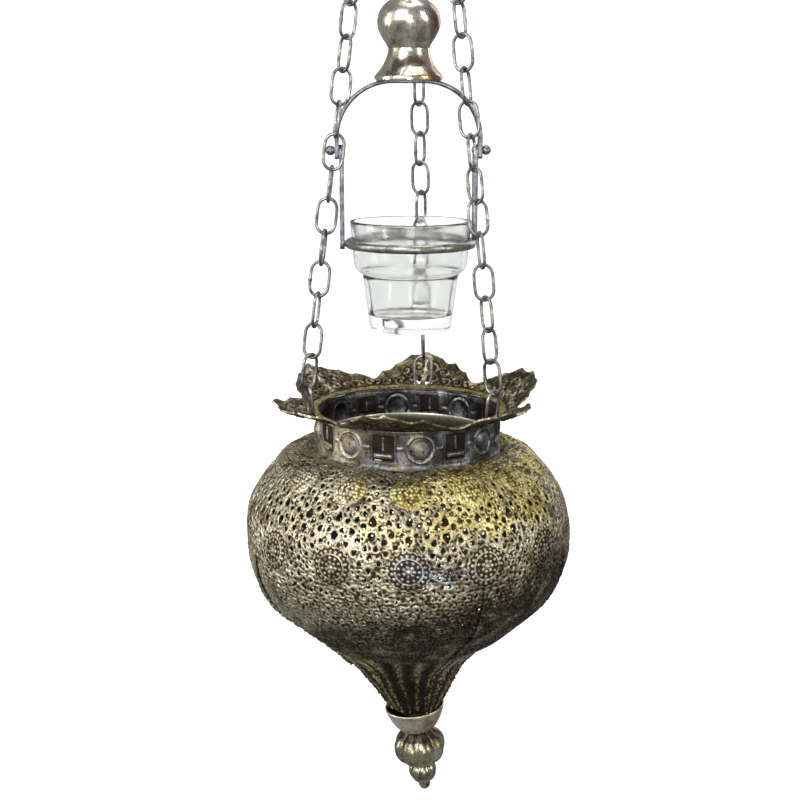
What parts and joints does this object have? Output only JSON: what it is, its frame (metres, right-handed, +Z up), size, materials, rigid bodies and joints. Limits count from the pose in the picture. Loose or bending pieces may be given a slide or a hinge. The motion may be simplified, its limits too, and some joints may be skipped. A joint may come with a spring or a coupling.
{
  "type": "sanctuary lamp",
  "caption": "Onion-shaped pierced metal sanctuary lamp hung on three chains, with a petal rim and a glass light cup in a ring holder hung in its mouth.",
  "frame": {"origin": "centre of the upper bore of the hanging link, where a ceiling hook goes", "axes": "+Z up along the hanging lamp; +Y along the hanging link's bore, away from the front; +X to the right"},
  "size_m": [0.1836, 0.1836, 0.6384],
  "materials": {
    "aged_brass": "silvered brass, aged satin",
    "pierced_metal": "pierced and chased, antique silver and gold",
    "chain_wire": "antique pewter",
    "silvered_steel": "dull silvered",
    "plain_steel": "plain",
    "clear_glass": "clear pressed glass"
  },
  "bodies": {
    "suspension": {"suspension_link": "aged_brass"},
    "swivel": {"swivel_eye": "aged_brass"},
    "crown": {"swivel_stem": "plain_steel", "crown_nuts": "plain_steel", "crown_washer": "plain_steel", "crown_cap": "aged_brass", "crown_eyelets": "chain_wire", "eye_nut": "aged_brass"},
    "left_chain": {"left_chain": "chain_wire"},
    "right_chain": {"right_chain": "chain_wire"},
    "back_chain": {"back_chain": "chain_wire"},
    "bowl": {"petal_rim": "aged_brass", "rim_links": "chain_wire", "collar_band": "aged_brass", "inner_hoop": "aged_brass", "bowl_upper_shell": "pierced_metal", "lower_gore_1": "pierced_metal", "lower_gore_2": "pierced_metal", "lower_gore_3": "pierced_metal", "lower_gore_4": "pierced_metal", "lower_gore_5": "pierced_metal", "lower_gore_6": "pierced_metal", "lower_gore_7": "pierced_metal", "lower_gore_8": "pierced_metal", "tail_cone": "pierced_metal", "bottom_cup": "aged_brass", "finial_washer": "plain_steel", "finial_nut": "plain_steel", "finial_rod": "plain_steel", "finial_ball": "aged_brass", "finial_bead": "aged_brass", "finial_tip": "aged_brass"},
    "hanger": {"hanger_chain": "chain_wire"},
    "spindle": {"spindle_rod": "plain_steel", "spindle_ball": "aged_brass", "spindle_bell": "aged_brass", "arch": "silvered_steel", "left_pivot_rivet": "silvered_steel", "right_pivot_rivet": "silvered_steel"},
    "carrier": {"left_arm": "silvered_steel", "right_arm": "silvered_steel", "holder_ring": "silvered_steel"},
    "glass": {"glass_cup": "clear_glass"}
  },
  "joints": [
    {"name": "lamp_swing", "type": "hinge", "parent": "suspension", "child": "swivel", "pos_m": [0, 0, -0.0236], "axis": [1, 0, 0], "range_deg": [-35, 35]},
    {"name": "lamp_turn", "type": "hinge", "parent": "swivel", "child": "crown", "pos_m": [0, 0, -0.037], "axis": [0, 0, 1], "continuous": true},
    {"name": "bowl_turn", "type": "hinge", "parent": "crown", "child": "bowl", "pos_m": [0, 0, -0.3885], "axis": [0, 0, 1], "range_deg": [-8, 8]},
    {"name": "left_chain_swing", "type": "hinge", "parent": "crown", "child": "left_chain", "pos_m": [-0.01796, -0.00679, -0.0718], "axis": [-0.9354, -0.3535, 0], "range_deg": [-1.6, 1.6]},
    {"name": "right_chain_swing", "type": "hinge", "parent": "crown", "child": "right_chain", "pos_m": [0.01486, -0.01216, -0.0718], "axis": [0.7738, -0.6334, 0], "range_deg": [-1.6, 1.6]},
    {"name": "back_chain_swing", "type": "hinge", "parent": "crown", "child": "back_chain", "pos_m": [0.0031, 0.01895, -0.0718], "axis": [0.1616, 0.9869, 0], "range_deg": [-1.6, 1.6]},
    {"name": "hanger_swing", "type": "hinge", "parent": "crown", "child": "hanger", "pos_m": [0, 0, -0.0787], "axis": [1, 0, 0], "range_deg": [-1, 1]},
    {"name": "spindle_turn", "type": "hinge", "parent": "hanger", "child": "spindle", "pos_m": [0, 0, -0.1458], "axis": [0, 0, 1], "range_deg": [-30, 5]},
    {"name": "carrier_tilt", "type": "hinge", "parent": "spindle", "child": "carrier", "pos_m": [0, 0, -0.246], "axis": [0.9976, 0.0698, 0], "range_deg": [-9, 4.5]},
    {"name": "glass_lift", "type": "slide", "parent": "carrier", "child": "glass", "axis": [0, 0, 1], "range_m": [0, 0.034]}
  ],
  "couplings": [
    {"joint": "left_chain_swing", "follows": "bowl_turn", "ratio": 0.1955},
    {"joint": "right_chain_swing", "follows": "bowl_turn", "ratio": 0.1955},
    {"joint": "back_chain_swing", "follows": "bowl_turn", "ratio": 0.1955}
  ]
}
